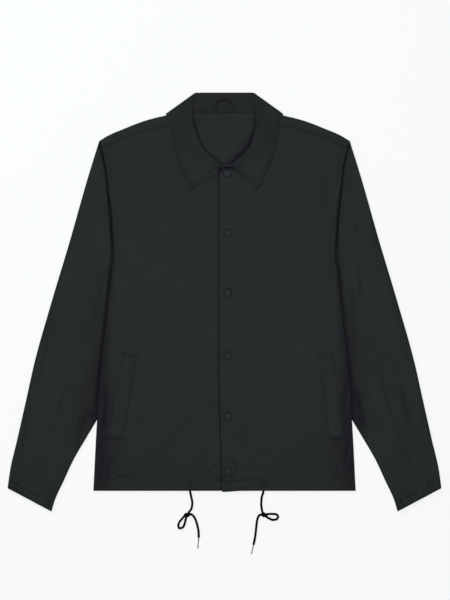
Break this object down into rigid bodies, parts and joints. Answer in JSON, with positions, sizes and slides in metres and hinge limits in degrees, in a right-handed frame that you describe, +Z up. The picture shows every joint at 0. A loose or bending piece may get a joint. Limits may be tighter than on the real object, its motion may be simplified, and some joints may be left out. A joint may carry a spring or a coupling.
{
  "type": "coach jacket",
  "caption": "Nylon coach jacket laid flat and snapped shut, with a turned-down collar, slanted welt pockets, elastic cuffs and a hem drawcord with metal tips.",
  "frame": {"origin": "on the surface that the jacket lies on, below the middle of the jacket without its drawcord ends", "axes": "+X towards the jacket's left sleeve, the right side of the picture; +Y from hem to collar; +Z up from the surface, out of the front panels"},
  "size_m": [0.816, 0.869, 0.0128],
  "materials": {
    "nylon": "plain-woven nylon with a faint sheen",
    "collar_nylon": "plain-woven nylon over a stiffener",
    "tape": "matt woven tape",
    "cord": "matt braided cord",
    "snap_lacquer": "semi-matt lacquer",
    "tip_metal": "bright nickel"
  },
  "bodies": {
    "root": {"front_left": "nylon", "front_right": "nylon", "back": "nylon", "sleeve_left": "nylon", "sleeve_right": "nylon", "cuff_left": "nylon", "cuff_right": "nylon", "pocket_welt_left": "nylon", "pocket_welt_right": "nylon", "collar_stand": "collar_nylon", "collar_fall": "collar_nylon", "hanger_loop": "tape", "snap_1": "snap_lacquer", "snap_2": "snap_lacquer", "snap_3": "snap_lacquer", "snap_4": "snap_lacquer", "snap_5": "snap_lacquer", "snap_6": "snap_lacquer", "cord_left_lead": "cord", "cord_left_loop": "cord", "cord_left_tail": "cord", "cord_left_knot": "cord", "cord_left_tip": "tip_metal", "cord_right_lead": "cord", "cord_right_loop": "cord", "cord_right_tail": "cord", "cord_right_knot": "cord", "cord_right_tip": "tip_metal"}
  },
  "joints": []
}
